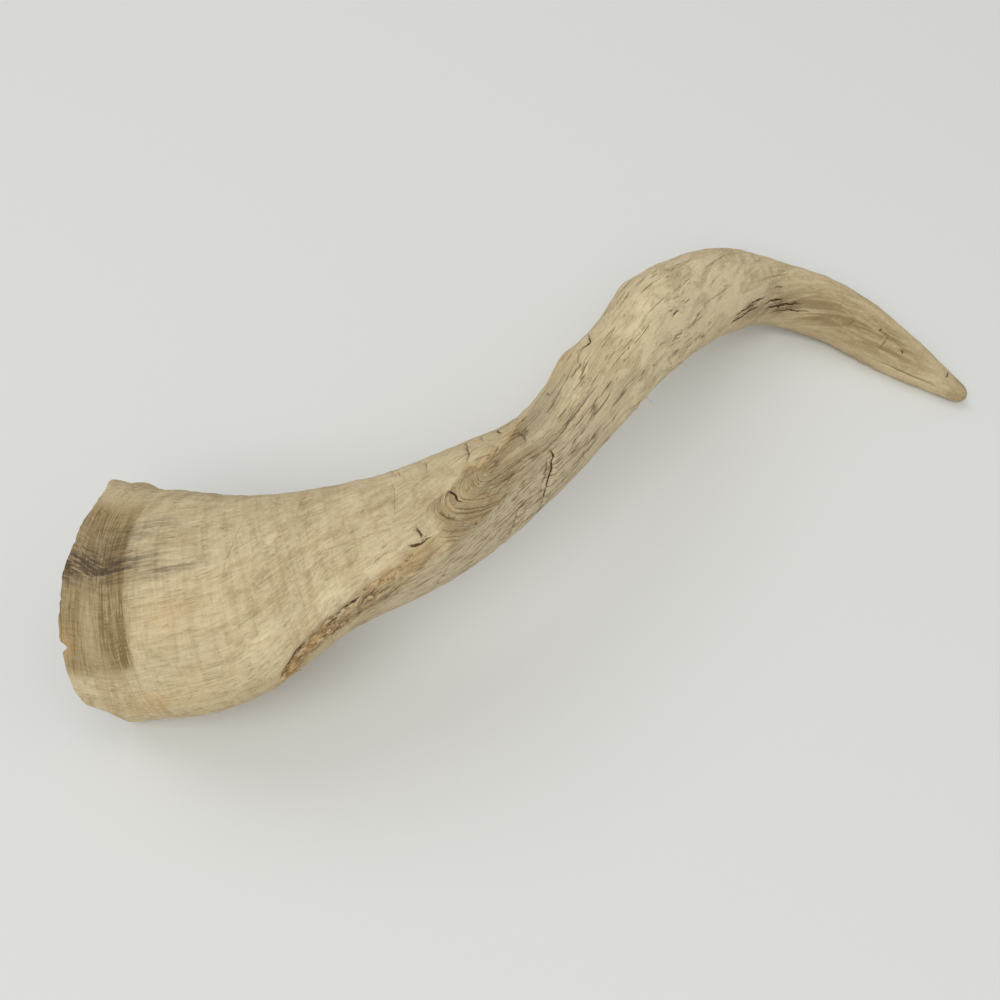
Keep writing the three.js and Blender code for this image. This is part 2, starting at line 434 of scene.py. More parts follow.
def within(value, stretch):
    """0 up to the stretch's start, 1 where it is full, and 0 again where it has gone."""
    start, full, fading, gone = stretch
    return smooth_step(start, full, value) * smooth_step(gone, fading, value)


# The law of the horn


def unit(vectors):
    return vectors / np.linalg.norm(vectors, axis=-1, keepdims=True)


def through_stations(place):
    """The stations' values on a smooth curve, at places counted in stations."""
    before = 2 * STATIONS[0] - STATIONS[1]
    after = 2 * STATIONS[-1] - STATIONS[-2]
    padded = np.vstack((before, STATIONS, after))
    step = np.clip(np.floor(place), 0, LAST_STATION - 1).astype(int)
    f = (place - step)[..., None]
    a, b, c, d = (padded[step + ahead] for ahead in range(4))
    bend = (2 * a - 5 * b + 4 * c - d) * f**2
    twist = (3 * b - a - 3 * c + d) * f**3
    return 0.5 * (2 * b + (c - a) * f + bend + twist)


def section_point(place, angle, wall, scale):
    """Points on the section at a place, with the wall taken off and the section scaled."""
    nudge = 0.001
    here = through_stations(place)
    ahead = through_stations(np.minimum(place + nudge, LAST_STATION))
    behind = through_stations(np.maximum(place - nudge, 0))
    along = unit(ahead[..., :3] - behind[..., :3])
    above = unit(np.array((0.0, 0.0, 1.0)) - along * along[..., 2:])
    turn = np.radians(here[..., KEEL_TURN])[..., None]
    keel = np.cos(turn) * above + np.sin(turn) * np.cross(along, above)
    across = np.cross(along, keel)
    half_depth = (here[..., DEPTH] / 2 - wall) * scale
    half_thickness = (here[..., THICKNESS] / 2 - wall) * scale
    egg = 1 - here[..., TAPER] * np.cos(angle)
    keelwards = keel * (half_depth * np.cos(angle))[..., None]
    sideways = across * (half_thickness * np.sin(angle) * egg)[..., None]
    return here[..., :3] + keelwards + sideways


def turn_between(angle, middle):
    """Degrees from the middle angle to each angle, the short way round."""
    return (angle - middle + 180) % 360 - 180


def place_on_ring(distance, degrees):
    """Rings follow the rim near the base and are square to the horn further on."""
    depth, middle, spread = WORN_CORNER
    worn = depth * np.exp(-((turn_between(degrees, middle) / spread) ** 2))
    set_back = RIM_DIP * np.cos(np.radians(degrees)) ** 2 + worn
    fade = np.clip(1 - distance / DIP_FADES_AT, 0, None) ** 2
    return np.minimum((distance + set_back * fade) / STATION_SPACING, LAST_STATION)


def outer_skin(distance, degrees, scale=1.0):
    return section_point(place_on_ring(distance, degrees), np.radians(degrees), 0.0, scale)


def inner_skin(distance, degrees):
    share = np.clip(distance / HOLLOW_LENGTH, 0, 1)
    scale = 1 - share**HOLLOW_BLUNTNESS
    return section_point(place_on_ring(distance, degrees), np.radians(degrees), RIM_WALL, scale)


def outward(distance, degrees):
    """Unit vectors square to the outer skin, pointing out."""
    step = 0.4
    before = np.clip(distance - step, 0, HORN_LENGTH - 2 * step)
    along = outer_skin(before + 2 * step, degrees) - outer_skin(before, degrees)
    around = outer_skin(distance, degrees + step) - outer_skin(distance, degrees - step)
    return unit(np.cross(around, along))


def mean_radius(distance):
    here = through_stations(distance / STATION_SPACING)
    return (here[..., DEPTH] + here[..., THICKNESS]) / 4


def mm_per_degree(distance, degrees):
    """How far one degree goes round the skin."""
    here = through_stations(distance / STATION_SPACING)
    angle = np.radians(degrees)
    deep = here[..., DEPTH] / 2 * np.sin(angle)
    thick = here[..., THICKNESS] / 2 * np.cos(angle) * (1 - here[..., TAPER] * np.cos(angle))
    return np.radians(np.hypot(deep, thick))


# What the weather has done to it, and the light and shade painted on it


def follow(line, distance):
    """The angle of a line at each distance."""
    steps, angles = zip(*line)
    return np.interp(distance, steps, angles)


def offset_from(line, skin):
    """Signed millimetres from a line drawn on the skin, and the share along it."""
    offset = np.full(skin.distance.shape, np.inf)
    along = np.zeros(skin.distance.shape)
    for index, ((s0, a0), (s1, a1)) in enumerate(zip(line, line[1:])):
        run, rise = s1 - s0, (a1 - a0) * skin.degree
        x, y = skin.distance - s0, turn_between(skin.angle, a0) * skin.degree
        share = np.clip((x * run + y * rise) / (run * run + rise * rise), 0, 1)
        gap = np.hypot(x - share * run, y - share * rise)
        closer = gap < np.abs(offset)
        side = np.where(run * y - rise * x < 0, -1, 1)
        offset = np.where(closer, side * gap, offset)
        along = np.where(closer, (index + share) / (len(line) - 1), along)
    return offset, along


def soft_patches(skin, *patches):
    """Soft oval patches on the skin, added up."""
    total = 0.0
    for strength, distance, angle, length, width in patches:
        far = ((skin.distance - distance) / length) ** 2
        far = far + (turn_between(skin.angle, angle) / width) ** 2
        total = total + strength * np.exp(-far)
    return total


def hidden_cracks():
    """Checks on the side that is turned away, of the same kinds as those on the near side."""
    draw = np.random.default_rng(CRACK_SEED)
    lines = []
    for _ in range(HIDDEN_CRACKS):
        start = draw.uniform(12, 325)
        angle = draw.uniform(70, 175) if start < 100 else draw.uniform(135, 270)
        across = draw.random() < 0.55
        length = draw.uniform(12, 34)
        reach = (draw.uniform(-1, 1), length) if across else (length / 2, draw.uniform(-6, 6))
        middle = (start + reach[0] / 2 + draw.uniform(-0.8, 0.8), angle + reach[1] / 2)
        points = ((start, angle), middle, (start + reach[0], angle + reach[1]))
        lines.append((draw.uniform(0.14, 0.36), draw.uniform(0.15, 0.4), points))
    return lines


class Skin:
    """The outer skin as it grew: where each point lies, what the weather did to it there, and the light
    and shade painted on it.
    """

    def __init__(self, distance, angle):
        self.distance = distance
        self.angle = angle
        self.degree = mm_per_degree(distance, angle)
        self.radius = mean_radius(distance)
        self.straight = self.round_the_axis(angle, distance)
        self.find_grain()
        self.find_torn_places()
        self.find_stains()
        self.find_textures()
        self.find_cracks()

    def round_the_axis(self, angle, distance):
        """Seamless coordinates in millimetres, as if the horn were straight."""
        turn = np.radians(angle)
        return np.stack((self.radius * np.cos(turn), self.radius * np.sin(turn), distance), -1)

    def find_grain(self):
        """Growth rings, fibres that turn round the horn in the twist, and the grain of the knot."""
        s = self.distance
        dip = RING_DIP * np.cos(np.radians(self.angle)) ** 2 * np.exp(-s / RING_DIP_FADES)
        self.ring = s + dip
        self.fibres = self.round_the_axis(self.angle - follow(FIBRE_TURN, s), s)
        middle_distance, middle_angle = KNOT_CENTRE
        x = s - middle_distance
        x = np.where(x > 0, 0.35 * x, x)
        y = 3.6 * turn_between(self.angle, middle_angle) * self.degree
        self.swirl = np.hypot(x, y) - x

    def find_torn_places(self):
        """The knot lies between the zigzag and the ridge, the crust between its edge and foot."""
        s, a = self.distance, self.angle
        self.above_zigzag = turn_between(a, follow(ZIGZAG, s)) * self.degree
        self.above_ridge = (a - follow(RIDGE, s)) * self.degree
        sides = smooth_step(-0.6, 0.8, self.above_zigzag) * smooth_step(1.5, -1.0, self.above_ridge)
        self.knot = within(s, KNOT_STRETCH) * sides
        self.over_edge = turn_between(a, follow(CRUST_EDGE, s)) * self.degree
        under_foot = -turn_between(a, follow(CRUST_FOOT, s)) * self.degree
        sides = smooth_step(-0.3, 0.5, self.over_edge) * smooth_step(-1.0, 1.2, under_foot)
        self.crust = within(s, CRUST_STRETCH) * sides
        self.dark_crust = self.crust * (1 - 0.5 * smooth_step(72, 86, s))

    def find_stains(self):
        """How strongly each stain and tone shows."""
        s, a = self.distance, self.angle
        wander = 1.5 * noise(self.straight * 0.15, 2)
        band = smooth_step(OLIVE_END, OLIVE_END - 1, self.ring + 0.15 * wander)
        sides = within(a + wander, OLIVE_FRONT) + 0.8 * within(a + wander, OLIVE_BACK)
        strength = 0.8 + 0.2 * smooth_step(18, 22, s) - soft_patches(self, WORN_OLIVE)
        self.olive = band * sides * strength
        self.charcoal = soft_patches(self, *CHARCOAL_PATCHES)
        torn_line = np.exp(-((self.above_zigzag / 1.8) ** 2)) * within(s, TORN_LINE_STRETCH)
        knot = self.knot * smooth_step(150, 118, s)
        crust = self.crust * (1 - 0.8 * smooth_step(66, 84, s))
        self.ochre = soft_patches(self, *OCHRE_PATCHES) + 0.5 * (torn_line + knot) + crust
        # Pale patches, with painted light on the lower flank of the shaft.
        self.bleach = soft_patches(self, *BLEACHED_AND_PAINTED_LIGHT_PATCHES) + 0.3 * self.knot
        # Painted shade: the face below the keel ridge, turned away from the light, is painted greyer.
        face = smooth_step(-2, 4, self.above_ridge) * smooth_step(170, 120, a)
        self.grey = within(s, PAINTED_SHADE_STRETCH) * face
        self.umber = soft_patches(self, *UMBER_PATCHES) + 0.6 * smooth_step(340, 346, s)

    def find_textures(self):
        """Fine checks, hairy fibres and growth rings, each strongest in its own stretch."""
        s = self.distance
        face = smooth_step(-6, 6, self.above_ridge) * (1 - self.knot)
        self.checked = 0.15 + 0.85 * within(s, CHECKED_STRETCH)
        self.hairy = 0.12 + 0.88 * within(s, HAIRY_STRETCH) * face
        self.ringed = 0.3 + 0.7 * smooth_step(120, 45, s)

    def find_cracks(self):
        """The nearest crack's signed offset and half width, and how deep the skin is cut."""
        self.crack_offset = np.full(self.distance.shape, CRACK_REACH)
        self.crack_width = np.zeros(self.distance.shape)
        self.cut = np.zeros(self.distance.shape)
        nearest = np.full(self.distance.shape, np.inf)
        wander = 0.5 * noise(self.straight * 0.6, 2)
        for half_width, depth, line in (*CRACKS, *hidden_cracks()):
            offset, along = offset_from(line, self)
            offset = offset + wander * np.clip(half_width * 2, 0.3, 1)
            taper = np.sqrt(np.clip(4 * along * (1 - along), 0, 1))
            near = np.abs(offset)
            width = half_width * taper * np.clip(CRACK_REACH - near, 0, 1)
            self.cut = np.maximum(
                self.cut, depth * taper * np.exp(-((near / max(half_width * 1.3, 0.55)) ** 2))
            )
            closer = near - width < nearest
            nearest = np.where(closer, near - width, nearest)
            self.crack_offset = np.where(closer, offset, self.crack_offset)
            self.crack_width = np.where(closer, width, self.crack_width)
        self.crack_offset = np.clip(self.crack_offset, -CRACK_REACH, CRACK_REACH)

    def relief(self, looks):
        """How far the skin stands out from the law, in millimetres."""
        s, a = self.distance, self.angle
        still = self.straight * np.array((0.04, 0.04, 0))
        rings = noise(still + np.stack((0 * s, 0 * s, self.ring * 0.35), -1), 3)
        rings = rings * looks.ring_relief * (1 - self.knot) * (1 - self.crust)
        swells = 0.22 * noise(self.straight * 0.08, 3)
        torn = 1 - 2 * np.abs(noise(self.straight * np.array((0.55, 0.55, 0.22)), 3))
        crust = self.crust * looks.crust_relief * (0.25 + 0.75 * torn)
        step = 0.7 * np.exp(-((self.over_edge / 0.7) ** 2)) * within(s, CRUST_STEP_STRETCH)
        swirls = noise(np.stack((self.swirl * 0.45, a * 0.01, s * 0.02), -1), 2)
        swirls = 0.55 * self.knot * swirls
        from_ridge, _ = offset_from(RIDGE, self)
        ridge = 0.7 * np.exp(-((from_ridge / 1.6) ** 2)) * within(s, RIDGE_STRETCH)
        lumps = soft_patches(self, *TWIST_LUMPS)
        worn_rim = -2.2 * smooth_step(3, -8, s)
        tip_fade = smooth_step(349, 335, s)
        relief = rings + swells + crust - step + swirls + ridge + lumps + worn_rim
        return relief * tip_fade - self.cut * looks.crack_depth


# Modelling steps


def deselect_all():
    bpy.ops.object.select_all(action="DESELECT")


def edit_all():
    """Goes into edit mode with the whole mesh selected."""
    bpy.ops.object.mode_set(mode="EDIT")
    bpy.ops.mesh.select_all(action="SELECT")


def choose(mesh, wanted):
    """Selects the vertices of the mesh in edit mode that pass a test."""
    shape = bmesh.from_edit_mesh(mesh)
    for vertex in shape.verts:
        vertex.select = wanted(vertex.co)
    shape.select_flush(True)
    bmesh.update_edit_mesh(mesh)


def extrude_to(height, rise, width=1.0):
    """Extrudes the selected ring up the tube's axis and resizes it round the axis."""
    bpy.ops.mesh.extrude_region_move(TRANSFORM_OT_translate={"value": (0, 0, rise * MM)})
    if width != 1.0:
        bpy.ops.transform.resize(value=(width, width, 1), center_override=(0, 0, height * MM))


def straight_sheath():
    """A straight hollow tube with a closed tip, in the sizes of the horn's rings."""
    deselect_all()
    bpy.ops.mesh.primitive_circle_add(vertices=SIDES, radius=TUBE_RADIUS * MM)
    tube = bpy.context.object
    edit_all()
    height, width = 0.0, 1.0
    shaft = [(ring, 1.0) for ring in RIM_RINGS + BASE_RINGS + CRUST_RINGS + SHAFT_RINGS]
    for ring, ring_width in (*shaft, *TIP_RINGS):
        extrude_to(ring, ring - height, ring_width / width)
        height, width = ring, ring_width
    extrude_to(HORN_LENGTH, HORN_LENGTH - height)
    bpy.ops.mesh.merge(type="CENTER")
    choose(tube.data, lambda place: place.z < 0.1 * MM)
    extrude_to(0, 0, TUBE_BORE / TUBE_RADIUS)
    height = 0.0
    for ring in HOLLOW_RINGS:
        extrude_to(ring, ring - height)
        height = ring
    extrude_to(HOLLOW_LENGTH, HOLLOW_LENGTH - height)
    bpy.ops.mesh.merge(type="CENTER")
    bpy.ops.mesh.select_all(action="SELECT")
    bpy.ops.mesh.normals_make_consistent(inside=False)
    bpy.ops.object.mode_set(mode="OBJECT")
    smooth = tube.modifiers.new("Smooth", "SUBSURF")
    smooth.levels = smooth.render_levels = LEVELS
    bpy.ops.object.modifier_apply(modifier=smooth.name)
    return tube


def read_places(mesh):
    places = np.empty(len(mesh.vertices) * 3)
    mesh.vertices.foreach_get("co", places)
    return places.reshape(-1, 3)


def write_places(mesh, places):
    mesh.vertices.foreach_set("co", places.ravel())
    mesh.update()


def write_attribute(mesh, name, values):
    """Notes a number or a vector on each point of the mesh."""
    kind, field = ("FLOAT", "value") if values.ndim == 1 else ("FLOAT_VECTOR", "vector")
    layer = mesh.attributes.new(name, kind, "POINT")
    layer.data.foreach_set(field, values.astype(np.float32).ravel())


def rim_loss(angle):
    """How much of the rim is broken off at each angle."""
    turn = np.radians(angle)
    ragged = np.stack((np.cos(turn), np.sin(turn), 0 * turn), -1)
    return follow(RIM_EDGE, angle) + 0.45 * noise(ragged * 8, 3) + 0.4 * noise(ragged * 30, 2)


def lay_along_horn(tube, looks):
    """Turns the straight tube into the horn, and notes on it what its finish needs."""
    places = read_places(tube.data) / MM
    radius = np.hypot(places[:, 0], places[:, 1])
    full = np.median(radius[places[:, 2] > HOLLOW_LENGTH + 10])
    angle = np.degrees(np.arctan2(places[:, 1], places[:, 0]))
    distance = np.clip(places[:, 2], 0, HORN_LENGTH)
    in_dome = distance > DOME_START
    scale = np.where(in_dome, np.clip(radius / full, 0, 1), 1)
    bore = full * TUBE_BORE / TUBE_RADIUS
    depth_in_wall = np.where(in_dome, 0, np.clip((full - radius) / (full - bore), 0, 1))
    distance = distance + rim_loss(angle) * np.exp(-distance / CHIP_REACH)
    distance = np.minimum(distance, HORN_LENGTH)

    skin = Skin(distance, angle)
    relief = skin.relief(looks)[:, None]
    outer = outer_skin(distance, angle, scale) + outward(distance, angle) * relief * scale[:, None]
    inner_relief = 0.25 * noise(skin.straight * np.array((0.3, 0.3, 0.06)), 3)[:, None]
    inner = inner_skin(distance, angle) + outward(distance, angle) * inner_relief
    share = depth_in_wall[:, None]
    laid = outer * (1 - share) + inner * share
    laid[:, 2] = np.maximum(laid[:, 2] - CONTACT_WEAR, 0)
    write_places(tube.data, laid * MM)

    mesh = tube.data
    write_attribute(mesh, "growth", np.stack((*skin.straight.T[:2], skin.ring), -1))
    write_attribute(mesh, "fibres", skin.fibres)
    skin.crack_width *= looks.crack_width
    for name in SKIN_VALUES:
        write_attribute(mesh, name, getattr(skin, name))


# Finishes


class Signal:
    """A socket that gives a number, for use in sums."""

    def __init__(self, finish, socket):
        self.finish = finish
        self.socket = socket

    def sum(self, operation, *values):
        places = {f"#{index}": value for index, value in enumerate(values)}
        return self.finish.node("ShaderNodeMath", {"operation": operation}, **places)

    def __add__(self, other):
        return self.sum("ADD", self, other)

    __radd__ = __add__

    def __sub__(self, other):
        return self.sum("SUBTRACT", self, other)

    def __rsub__(self, other):
        return self.sum("SUBTRACT", other, self)

    def __mul__(self, other):
        return self.sum("MULTIPLY", self, other)

    __rmul__ = __mul__

    def __truediv__(self, other):
        return self.sum("DIVIDE", self, other)

    def __abs__(self):
        return self.sum("ABSOLUTE", self)

    def between(self, low, high):
        """0 at low and 1 at high, smoothly."""
        settings = {"interpolation_type": "SMOOTHSTEP"}
        places = {"Value": self, "From Min": low, "From Max": high, "To Min": 0.0, "To Max": 1.0}
        return self.finish.node("ShaderNodeMapRange", settings, **places)

    def fraction(self):
        return self.sum("FRACT", self)

    def clipped(self):
        return self.finish.node("ShaderNodeClamp", {}, Value=self)


class Finish:
    """A material under construction."""

    def __init__(self, name):
        self.material = bpy.data.materials.new(name)
        self.material.use_nodes = True
        self.tree = self.material.node_tree
        self.tree.nodes.clear()

    def node(self, kind, settings, output=0, **places):
        """Adds a node: its settings first, then its sockets by name, or by #number."""
        node = self.tree.nodes.new(kind)
        for name, value in settings.items():
            setattr(node, name, value)
        for name, value in places.items():
            socket = node.inputs[int(name[1:])] if name[0] == "#" else node.inputs[name]
            self.plug(value, socket)
        return Signal(self, node.outputs[output]) if node.outputs else None

    def plug(self, value, socket):
        if isinstance(value, Signal):
            self.tree.links.new(value.socket, socket)
        elif isinstance(value, (int, float)):
            socket.default_value = value
        else:
            blank = len(socket.default_value) - len(value)
            socket.default_value = (*value, *(1.0,) * blank)

    def attribute(self, name, output=1):
        return self.node("ShaderNodeAttribute", {"attribute_name": name}, output)

    def stretched(self, vector, across, along):
        """A vector attribute scaled across and along the horn."""
        places = {"#0": vector, "#1": (across, across, along)}
        return self.node("ShaderNodeVectorMath", {"operation": "MULTIPLY"}, **places)

    def grain(self, vector, across, along, detail=3.0, roughness=0.55, warp=0.0):
        """Noise from 0 to 1 with this many cycles per millimetre across and along."""
        return self.node(
            "ShaderNodeTexNoise", {},
            Vector=self.stretched(vector, across, along), Scale=1.0, Detail=detail,
            Roughness=roughness, Distortion=warp,
        )

    def mix(self, colour, other, share):
        places = {"#0": share, "#6": colour, "#7": other}
        return self.node("ShaderNodeMix", {"data_type": "RGBA"}, output=2, **places)

    def surface(self, colour, roughness, height, specular):
        bump = self.node("ShaderNodeBump", {}, Strength=1.0, Distance=MM, Height=height)
        shader = self.node(
            "ShaderNodeBsdfPrincipled", {},
            **{"Base Color": colour, "Roughness": roughness, "Normal": bump},
            **{"Specular IOR Level": specular},
        )
        self.node("ShaderNodeOutputMaterial", {}, Surface=shader)
        return self.material


class HornFinish(Finish):
    """Bleached keratin with rings, fibres, stains, crust and cracks."""

    def __init__(self, tints):
        super().__init__("weathered_horn")
        self.tints = tints
        self.read_skin()
        self.make_patterns()
        self.make_checks()
        self.make_cracks()

    def read_skin(self):
        """What the mesh says about each point of the skin."""
        self.growth = self.attribute("growth")
        self.fibres = self.attribute("fibres")
        for name in SKIN_VALUES:
            setattr(self, name, self.attribute(name, output=2))

    def make_patterns(self):
        """Patterns of dry keratin, from broad clouds to fine hair, and the swirls of the knot."""
        for name, (field, *sizes) in PATTERNS.items():
            setattr(self, name, self.grain(getattr(self, field), *sizes))
        self.grit = self.grit - 0.5
        self.swirls = self.node(
            "ShaderNodeTexNoise", {"noise_dimensions": "1D"},
            W=self.swirl + 3.0 * self.mottles + 0.4 * self.specks, Scale=1.1, Detail=4.0,
            Roughness=0.75,
        )

    def make_checks(self):
        """Long thin checks lie along the level lines of stretched noise."""
        levels = (self.grain(self.fibres, 0.22, 0.013, detail=5, roughness=0.5) * 6.0).fraction()
        breaks = self.grain(self.growth, 0.35, 0.12).between(0.49, 0.56)
        self.checks = (1 - abs(levels - 0.5) / 0.1).clipped() * breaks * self.checked
        levels = self.grain(self.fibres, 1.1, 0.13, detail=2, warp=0.6)
        breaks = self.grain(self.growth, 0.35, 0.3, detail=2).between(0.46, 0.62)
        self.small_checks = (1 - abs(levels - 0.5) / 0.03).clipped() * breaks

    def make_cracks(self):
        """Cracks have ragged edges, and thin ones are broken into dashes."""
        ragged = self.crack_offset + (self.specks - 0.5) * 0.45
        width = self.crack_width
        self.deep = width.between(0.08, 0.3)
        dashes = (self.mottles.between(0.36, 0.5) + self.deep).clipped()
        inside = ((width - abs(ragged)) / 0.16 + 0.4).clipped()
        self.crack = inside * width.between(0.01, 0.06) * dashes

    def bleached_ground(self):
        """Straw with darker streaks and rings, paler patches with some painted light, and painted shade
        in grey.
        """
        tints = self.tints
        dark_strokes = 1 - self.strokes.between(0.32, 0.5)
        ring_lines = (1 - self.rings.between(0.36, 0.55)) * self.ringed
        shade = self.patches.between(0.38, 0.62) * 0.5 + dark_strokes * 0.3 + ring_lines * 0.7
        shade = shade + 1.3 * self.grit
        colour = self.mix(tints.straw, tints.shaded_straw, shade.clipped())
        chalk = 0.3 + 0.75 * self.patches.between(0.58, 0.4) + 0.5 * (self.strokes - 0.5)
        pale_clouds = 1 - self.clouds.between(0.35, 0.6)
        # Painted highlight: the knot's swirls are paler on their raised ridges.
        painted_swirl_highlights = self.knot * self.swirls.between(0.46, 0.56)
        # Paler patches and strokes, with painted light on the lower flank of the shaft.
        pale = self.bleach * chalk + self.strokes.between(0.42, 0.66) * 0.3 + pale_clouds * 0.22
        pale = pale + painted_swirl_highlights * 0.8 - 0.5 * self.grit
        colour = self.mix(colour, tints.bleached, pale.clipped() * 0.9)
        # Painted shade: grey on the face below the keel ridge.
        return self.mix(colour, tints.grey, (self.grey * (0.35 + self.clouds)).clipped())

    def stained(self, colour):
        """Adds the brown band round the base, the ochre, the blotches and the dark streaks."""
        tints = self.tints
        strokes = 1.3 * (self.strokes - 0.5)
        band = 0.62 + 1.5 * (self.rings - 0.5) + 1.8 * (self.fine_rings - 0.5) + strokes
        colour = self.mix(colour, tints.olive, (self.olive * band * 1.35).clipped())
        ochre = self.ochre * (self.mottles.between(0.3, 0.62) * 0.7 + 0.25)
        colour = self.mix(colour, tints.ochre, ochre.clipped())
        umber = self.umber * (0.36 + 0.62 * self.streaks.between(0.36, 0.6) + strokes)
        colour = self.mix(colour, tints.umber, umber.clipped() * 0.74)
        soot = self.streaks.between(0.42, 0.56) * 0.38 + self.hair.between(0.46, 0.55) * 0.6
        soot = self.charcoal * (0.1 + soot)
        return self.mix(colour, tints.charcoal, soot.clipped() * 0.85)

    def lined(self, colour):
        """Adds dark hair, rings, swirls, crust, checks and cracks."""
        tints = self.tints
        hair = (1 - self.hair.between(0.4, 0.48)) * self.hairy * 0.9
        rings = (1 - self.fine_rings.between(0.34, 0.46)) * self.ringed * 0.12
        breaks = 0.25 + 0.75 * self.patches.between(0.4, 0.55)
        swirls = self.knot * (1 - self.swirls.between(0.36, 0.41)) * breaks * 1.2
        crust = self.dark_crust * (1 - self.crust_lines.between(0.34, 0.46)) * 0.75
        lines = hair + rings + swirls + crust + self.checks * 0.8 + self.small_checks * 0.08
        colour = self.mix(colour, tints.brown, lines.clipped() * 0.85)
        # Painted shade: the crust slits and the deeper checks darken towards the crack colour.
        gaps = self.dark_crust * crust + self.checks * self.checks * 0.3
        colour = self.mix(colour, tints.crack, gaps.clipped())
        # Thin cracks are brown lines; the wider cracks are darkened further as painted shade.
        colour = self.mix(colour, tints.brown, self.crack * (0.35 + 0.55 * self.deep))
        return self.mix(colour, tints.crack, self.crack * self.deep * 0.85)

    def height(self):
        """Relief in millimetres, for the bump."""
        fibres = 0.22 * (self.strokes - 0.5) + 0.14 * self.hairy * (self.hair - 0.5)
        rings = 0.2 * (self.rings - 0.5) + 0.1 * (self.fine_rings - 0.5)
        rough = 0.06 * (self.specks - 0.5) + 0.2 * self.grit + 0.2 * (self.mottles - 0.5)
        torn = 0.8 * self.knot * (self.swirls - 0.5)
        torn = torn + 1.4 * self.dark_crust * (self.crust_lines - 0.5)
        gaps = self.crack * (0.08 + 0.4 * self.deep) + self.checks * 0.16
        return fibres + self.ringed * rings + rough + torn - gaps - self.small_checks * 0.08

    def paint(self):
        colour = self.lined(self.stained(self.bleached_ground()))
        return self.surface(colour, 0.74 + 0.16 * self.mottles, self.height(), 0.22)


def torn_keratin(tints):
    """Loose fibres and chips: straw to ochre, browner in places."""
    paint = Finish("torn_keratin")
    place = paint.node("ShaderNodeTexCoord", {}, output=3)
    streaks = paint.grain(place, 900.0, 900.0)
    patches = paint.grain(place, 220.0, 220.0)
    colour = paint.mix(tints.straw, tints.ochre, patches.between(0.35, 0.6) * 0.55)
    colour = paint.mix(colour, tints.brown, (1 - streaks.between(0.42, 0.62)) * 0.75)
    return paint.surface(colour, 0.78 + 0.1 * streaks, 0.2 * streaks, 0.22)


def make_chip():
    """A torn chip about 5 mm long, lying along X."""
    deselect_all()
    bpy.ops.mesh.primitive_uv_sphere_add(segments=12, ring_count=8, radius=MM)
    chip = bpy.context.object
    edit_all()
    bpy.ops.transform.resize(value=CHIP_HALF_SIZES)
    for place, slant in CHIP_CUTS:
        bpy.ops.mesh.select_all(action="SELECT")
        bpy.ops.mesh.bisect(
            plane_co=(place * MM, 0, 0), plane_no=(math.copysign(1, place), slant, 0.3),
            use_fill=True, clear_outer=True,
        )
    bpy.ops.mesh.select_all(action="SELECT")
    bpy.ops.mesh.subdivide(number_cuts=1, smoothness=0.0)
    bpy.ops.transform.vertex_random(offset=0.12 * MM, seed=3)
    bpy.ops.object.mode_set(mode="OBJECT")
    bpy.ops.object.shade_smooth_by_angle(angle=math.radians(50))
    return chip


def make_strand():
    """A frayed fibre about 6 mm long, rising a little from the X axis."""
    deselect_all()
    bpy.ops.mesh.primitive_circle_add(
        vertices=6, radius=STRAND_RADIUS * MM, fill_type="NGON", rotation=(0, -math.pi / 2, 0)
    )
    strand = bpy.context.object
    bpy.ops.object.transform_apply(rotation=True)
    edit_all()
    for rise, drift in STRAND_BENDS:
        bpy.ops.mesh.extrude_region_move(
            TRANSFORM_OT_translate={"value": (STRAND_STEP * MM, drift * MM, rise * MM)}
        )
        bpy.ops.transform.resize(value=(1, 0.82, 0.82))
    bpy.ops.mesh.extrude_region_move(TRANSFORM_OT_translate={"value": (0.8 * MM, 0, 0.2 * MM)})
    bpy.ops.mesh.merge(type="CENTER")
    bpy.ops.mesh.select_all(action="SELECT")
    bpy.ops.mesh.normals_make_consistent(inside=False)
    bpy.ops.object.mode_set(mode="OBJECT")
    bpy.ops.object.shade_smooth()
    return strand


def scatter(model, name, spots, looks, finish):
    """Copies a model onto the skin, one copy for each spot, and joins the copies.

    A spot is the distance, the angle, the heading off the horn's length, the tilt out of the
    skin, the size and how far the copy stands off the skin in millimetres.
    """
    distance, angle, heading, tilt, size, lift = (np.array(column) for column in zip(*spots))
    skin = Skin(distance, angle)
    normal = outward(distance, angle)
    base = outer_skin(distance, angle) + normal * (skin.relief(looks) + lift)[:, None]
    base[:, 2] -= CONTACT_WEAR
    along = outer_skin(distance + 0.5, angle) - outer_skin(distance - 0.5, angle)
    copies = []
    for index in range(len(spots)):
        up = Vector(normal[index])
        forward = Vector(along[index])
        forward = (forward - up * forward.dot(up)).normalized()
        aside = up.cross(forward)
        frame_turn = Matrix((forward, aside, up)).transposed()
        turn = frame_turn @ Matrix.Rotation(math.radians(heading[index]), 3, "Z")
        turn = turn @ Matrix.Rotation(math.radians(-tilt[index]), 3, "Y")
        place = Matrix.Translation(Vector(base[index]) * MM)
        copy = model.copy()
        copy.data = model.data.copy()
        copy.data.transform(place @ turn.to_4x4() @ Matrix.Scale(size[index], 4))
        bpy.context.scene.collection.objects.link(copy)
        copies.append(copy)
    deselect_all()
    bpy.data.objects.remove(model)
    for copy in copies:
        copy.select_set(True)
    bpy.context.view_layer.objects.active = copies[0]
    bpy.ops.object.join()
    joined = bpy.context.object
    joined.name = name
    joined.data.materials.append(finish)
    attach(joined, BODY)
    return joined


